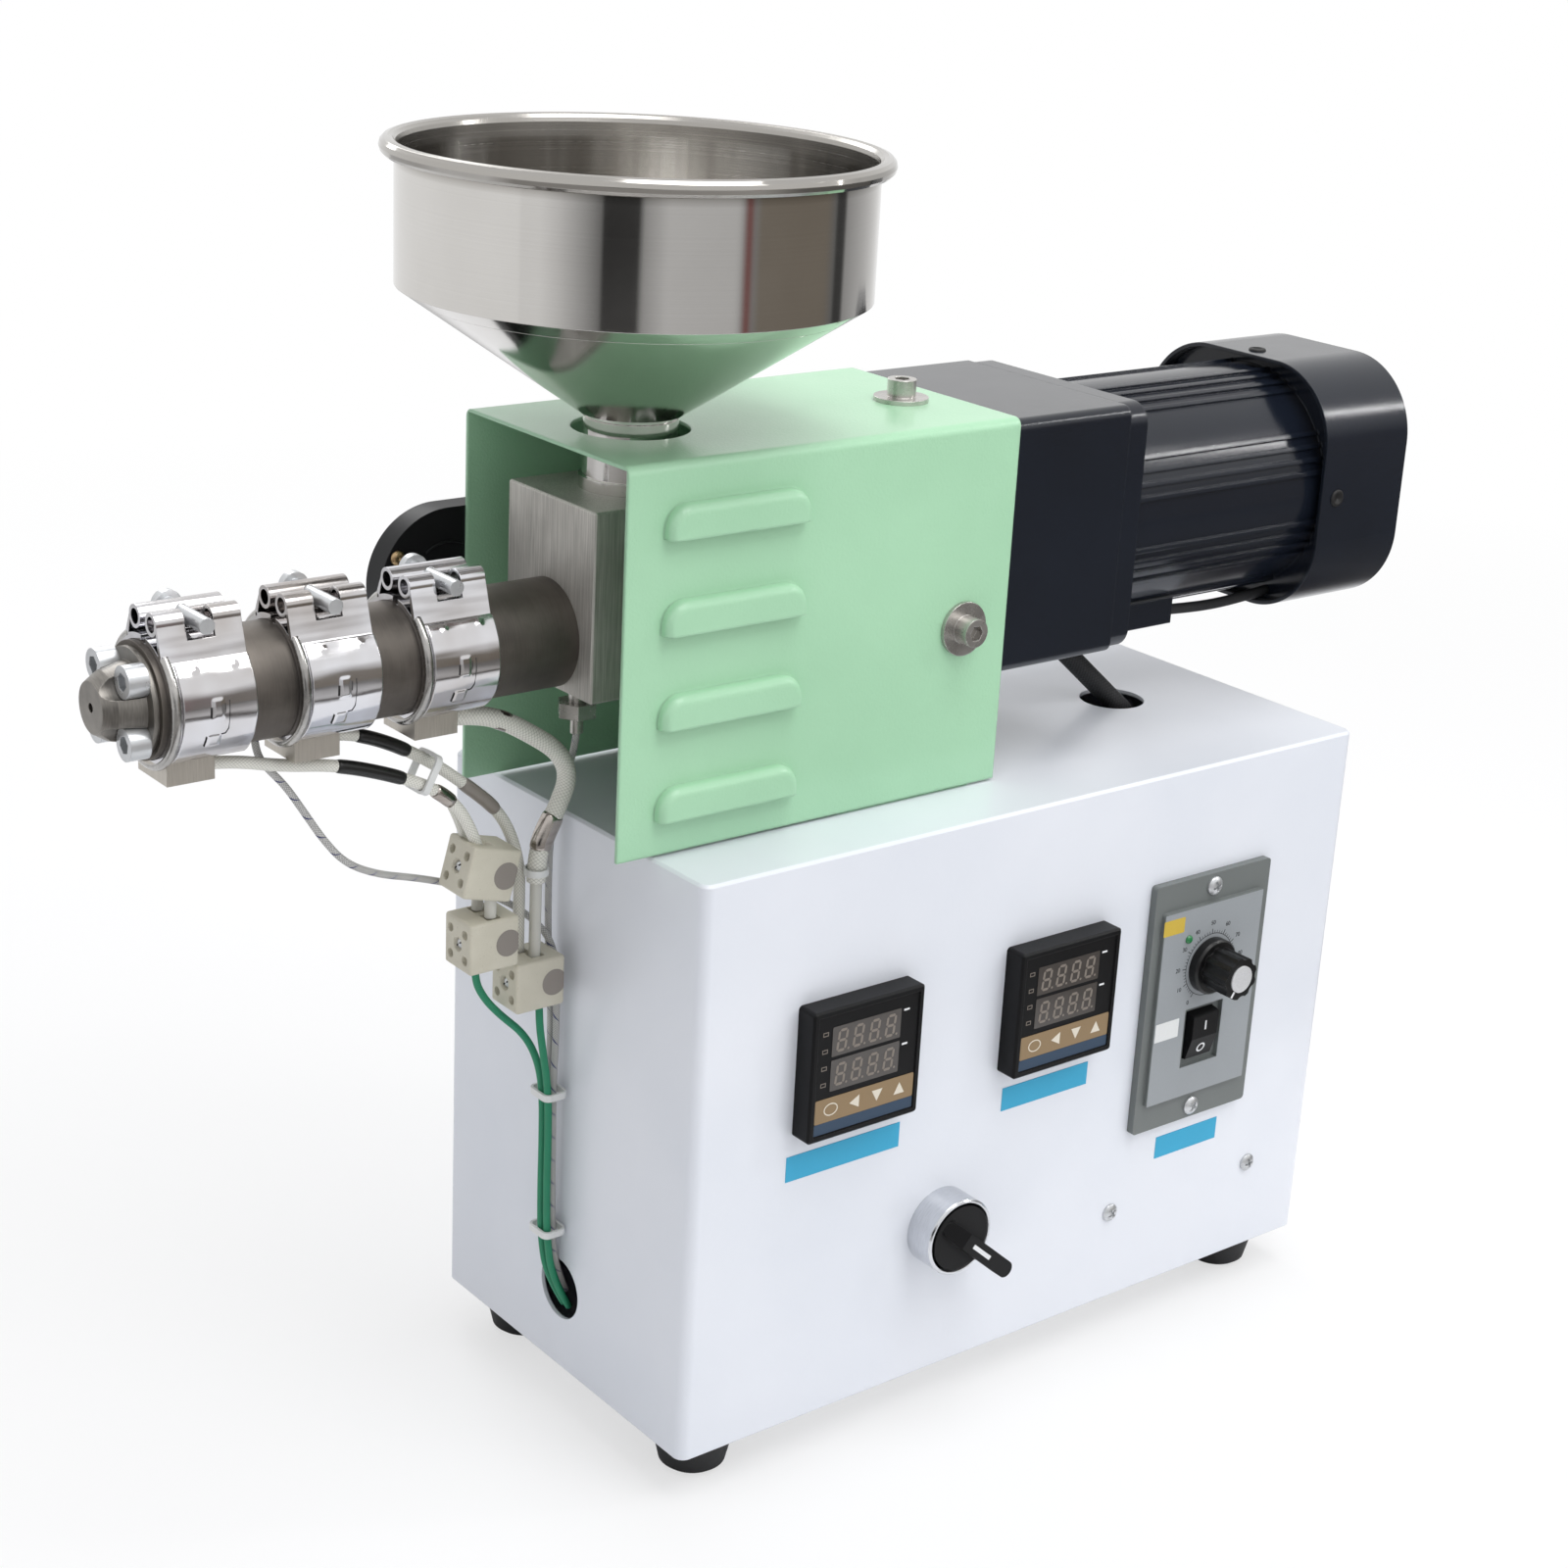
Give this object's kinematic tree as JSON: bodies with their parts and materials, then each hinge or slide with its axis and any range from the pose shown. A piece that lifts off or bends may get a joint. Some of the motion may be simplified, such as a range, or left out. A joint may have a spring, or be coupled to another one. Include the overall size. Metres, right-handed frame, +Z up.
{
  "type": "benchtop single screw extruder",
  "caption": "Benchtop single screw extruder: hopper, heated barrel and geared motor on a white control cabinet.",
  "frame": {"origin": "on the surface the feet stand on, under the middle of the machine's whole extent", "axes": "+X along the screw from the nozzle to the motor, -Y out of the control panel, +Z up"},
  "size_m": [0.52, 0.177, 0.4475],
  "materials": {
    "cabinet_paint": "gloss",
    "guard_paint": "satin",
    "motor_paint": "semi-gloss",
    "block_steel": "brushed",
    "barrel_steel": "satin",
    "screw_steel": "satin",
    "hopper_steel": "polished",
    "polished_band": "polished",
    "zinc_screw": "satin",
    "chrome_ring": "polished",
    "black_plastic": "matte",
    "grey_plastic": "matte",
    "foot_rubber": "matte",
    "ceramic": "matte",
    "glass_sleeve": "matte",
    "steel_braid": "satin",
    "green_wire": "satin",
    "white_plastic": "satin"
  },
  "bodies": {
    "root": {"cabinet_shell": "cabinet_paint", "cabinet_base": "cabinet_paint", "rubber_feet": "foot_rubber", "gear_bracket": "guard_paint", "guard_cover": "guard_paint", "feed_block": "block_steel", "guard_bolts": "zinc_screw", "block_probe": "zinc_screw", "feed_screw": "screw_steel", "bearing_housing": "block_steel", "barrel": "barrel_steel", "heater_band_1": "polished_band", "heater_band_2": "polished_band", "heater_band_3": "polished_band", "clamp_screws": "zinc_screw", "nozzle": "barrel_steel", "die_screws": "zinc_screw", "hopper_wall": "hopper_steel", "hopper_cone": "hopper_steel", "hopper_neck": "hopper_steel", "gear_head": "motor_paint", "motor_end_flange": "motor_paint", "motor_body": "motor_paint", "motor_fan": "black_plastic", "fan_cover": "motor_paint", "terminal_box": "motor_paint", "cooling_blower": "black_plastic", "blower_impeller": "black_plastic", "ceramic_terminals": "ceramic", "heater_lead_1": "glass_sleeve", "heater_lead_2": "glass_sleeve", "heater_lead_3": "glass_sleeve", "barrel_probe_lead": "steel_braid", "block_probe_lead": "steel_braid", "supply_lead_1": "green_wire", "supply_lead_2": "green_wire", "fan_lead": "black_plastic", "motor_lead": "black_plastic", "lead_links": "glass_sleeve", "lead_ties": "white_plastic", "temperature_controller_1": "black_plastic", "temperature_controller_2": "black_plastic", "speed_controller": "grey_plastic", "selector_ring": "chrome_ring", "panel_screws": "zinc_screw"},
    "speed_knob": {"speed_knob": "black_plastic", "knob_cap": "chrome_ring"},
    "selector_lever": {"selector_lever": "black_plastic"},
    "rocker_switch": {"rocker_switch": "black_plastic"}
  },
  "joints": [
    {"name": "speed_knob_turn", "type": "hinge", "parent": "root", "child": "speed_knob", "pos_m": [0.1425, -0.07197, 0.15], "axis": [0, 1, 0], "range_deg": [0, 280]},
    {"name": "selector_turn", "type": "hinge", "parent": "root", "child": "selector_lever", "pos_m": [0.02, -0.07197, 0.0755], "axis": [0, -1, 0], "range_deg": [0, 90]},
    {"name": "rocker_tilt", "type": "hinge", "parent": "root", "child": "rocker_switch", "pos_m": [0.1425, -0.06928, 0.1215], "axis": [-1, 0, 0], "range_deg": [0, 16]}
  ]
}
